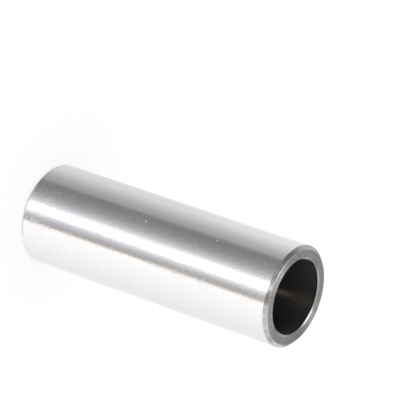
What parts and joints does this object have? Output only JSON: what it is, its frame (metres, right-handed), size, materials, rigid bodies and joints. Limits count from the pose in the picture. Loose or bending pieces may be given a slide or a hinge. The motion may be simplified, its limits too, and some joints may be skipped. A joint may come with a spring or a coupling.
{
  "type": "gudgeon pin",
  "caption": "Hollow steel gudgeon pin: a thick-walled tube, ground smooth outside, with a straight through bore and chamfered ends.",
  "frame": {"origin": "centre of the lower end face, on the surface that the pin stands on", "axes": "+Z along the pin's axis, from the lower end face to the upper one; the pin is round, so X and Y are free"},
  "size_m": [0.045, 0.045, 0.131],
  "materials": {
    "pin_steel": "ground and superfinished outside, satin turned ends, dark bore"
  },
  "bodies": {
    "root": {"gudgeon_pin": "pin_steel"}
  },
  "joints": []
}
